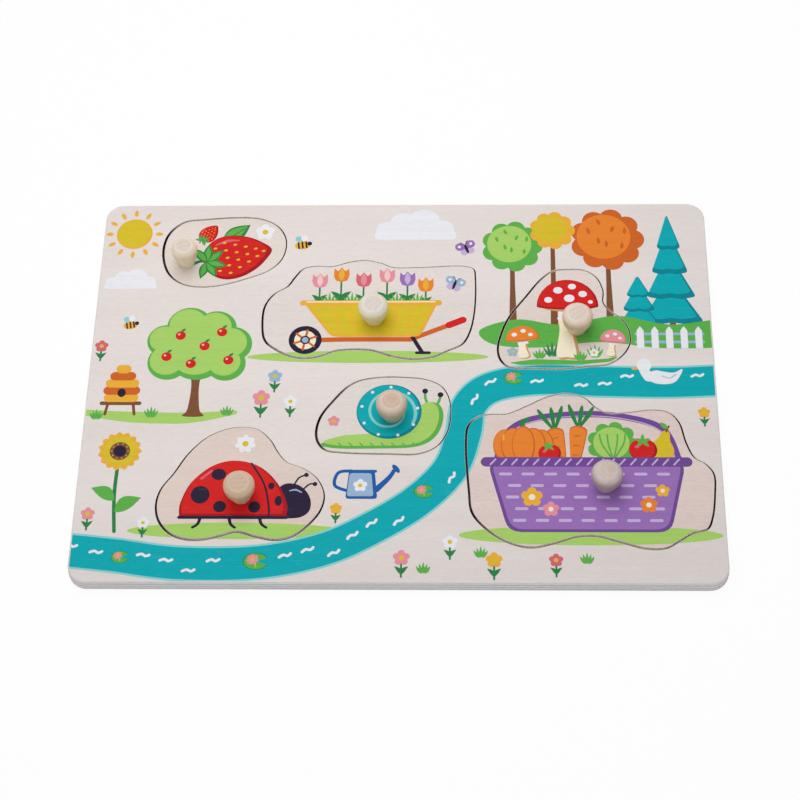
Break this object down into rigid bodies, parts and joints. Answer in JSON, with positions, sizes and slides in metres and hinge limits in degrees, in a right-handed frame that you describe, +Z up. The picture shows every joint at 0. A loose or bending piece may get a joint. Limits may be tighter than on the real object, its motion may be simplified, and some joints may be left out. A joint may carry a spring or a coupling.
{
  "type": "wooden peg puzzle",
  "caption": "Flat wooden puzzle board with curved recesses and printed lift-out pieces, each gripped by a turned wooden knob screwed on from below.",
  "frame": {"origin": "centre of the board's underside, where it rests on a table", "axes": "+X along the long edge to the right, +Y away from the user to the far edge, +Z up out of the printed face"},
  "size_m": [0.3, 0.21, 0.0218],
  "materials": {
    "printed_plywood": "pale birch plywood, lightly sealed, printed on top, with dark laser-cut walls",
    "backing_plywood": "pale birch plywood, lightly sealed",
    "knob_wood": "turned hardwood, satin, end grain on top",
    "screw_steel": "zinc-plated"
  },
  "bodies": {
    "board": {"backing_board": "backing_plywood", "frame_board": "printed_plywood"},
    "strawberry": {"strawberry_piece": "printed_plywood", "strawberry_knob": "knob_wood", "strawberry_screw": "screw_steel"},
    "wheelbarrow": {"wheelbarrow_piece": "printed_plywood", "wheelbarrow_knob": "knob_wood", "wheelbarrow_screw": "screw_steel"},
    "toadstool": {"toadstool_piece": "printed_plywood", "toadstool_knob": "knob_wood", "toadstool_screw": "screw_steel"},
    "snail": {"snail_piece": "printed_plywood", "snail_knob": "knob_wood", "snail_screw": "screw_steel"},
    "ladybird": {"ladybird_piece": "printed_plywood", "ladybird_knob": "knob_wood", "ladybird_screw": "screw_steel"},
    "basket": {"basket_piece": "printed_plywood", "basket_knob": "knob_wood", "basket_screw": "screw_steel"}
  },
  "joints": [
    {"name": "strawberry_lift", "type": "slide", "parent": "board", "child": "strawberry", "axis": [0, 0, 1], "range_m": [0, 0.04]},
    {"name": "wheelbarrow_lift", "type": "slide", "parent": "board", "child": "wheelbarrow", "axis": [0, 0, 1], "range_m": [0, 0.04]},
    {"name": "toadstool_lift", "type": "slide", "parent": "board", "child": "toadstool", "axis": [0, 0, 1], "range_m": [0, 0.04]},
    {"name": "snail_lift", "type": "slide", "parent": "board", "child": "snail", "axis": [0, 0, 1], "range_m": [0, 0.04]},
    {"name": "ladybird_lift", "type": "slide", "parent": "board", "child": "ladybird", "axis": [0, 0, 1], "range_m": [0, 0.04]},
    {"name": "basket_lift", "type": "slide", "parent": "board", "child": "basket", "axis": [0, 0, 1], "range_m": [0, 0.04]}
  ]
}
